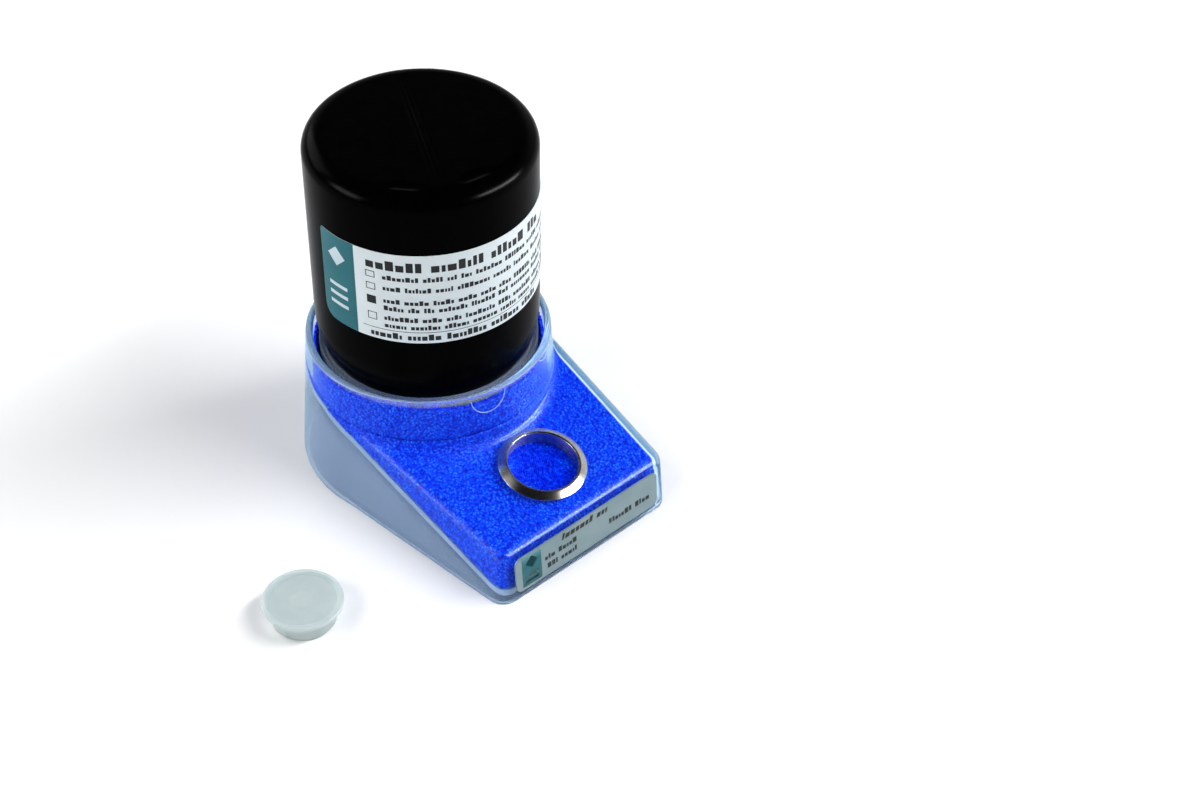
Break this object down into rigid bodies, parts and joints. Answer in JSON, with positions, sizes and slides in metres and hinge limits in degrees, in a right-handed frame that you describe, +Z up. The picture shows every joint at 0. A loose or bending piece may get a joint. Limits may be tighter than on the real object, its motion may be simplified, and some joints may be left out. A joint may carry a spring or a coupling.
{
  "type": "dental wax bead dispenser",
  "caption": "Clear wedge-shaped tray with an upside-down screw bottle of wax beads in its round collar, a steel-lined access hole in the sloping deck and a loose stopper.",
  "frame": {"origin": "on the table, under the axis of the bottle and of the tray's collar", "axes": "+Z up along the bottle's axis; the front plate and the low end of the deck face -Y; +X to the right as seen from the front"},
  "size_m": [0.1158, 0.1003, 0.104],
  "materials": {
    "clear_plastic": "clear moulded polystyrene, glossy",
    "clear_plastic_floor": "clear plastic sheet, slightly smoky",
    "chute_plastic": "pale grey moulded plastic",
    "ring_steel": "turned and satin polished",
    "plate_aluminium": "satin silver film",
    "wax_beads": "blue modelling-wax beads under 1 mm across",
    "adapter_plastic": "clear moulded plastic with grip ridges",
    "bottle_plastic": "satin black polyethylene",
    "label_film": "printed paper label with a teal panel",
    "stopper_plastic": "milky polyethylene"
  },
  "bodies": {
    "tray": {"housing_shell": "clear_plastic", "base_plate": "clear_plastic_floor", "feeder_chute": "chute_plastic", "adapter_posts": "chute_plastic", "access_ring": "ring_steel", "front_plate": "plate_aluminium", "tray_wax": "wax_beads", "collar_wax": "wax_beads"},
    "adapter": {"screw_adapter": "adapter_plastic"},
    "bottle": {"bottle_body": "bottle_plastic", "bottle_label": "label_film", "bottle_wax": "wax_beads"},
    "stopper": {"stopper": "stopper_plastic"}
  },
  "joints": [
    {"name": "bottle_lift", "type": "slide", "parent": "tray", "child": "adapter", "axis": [0, 0, 1], "range_m": [0, 0.045]},
    {"name": "bottle_turn", "type": "hinge", "parent": "adapter", "child": "bottle", "pos_m": [0, 0, 0.033], "axis": [0, 0, 1], "range_deg": [0, 450]},
    {"name": "stopper_lift", "type": "slide", "parent": "tray", "child": "stopper", "axis": [0, 0, 1], "range_m": [0, 0.04]}
  ]
}
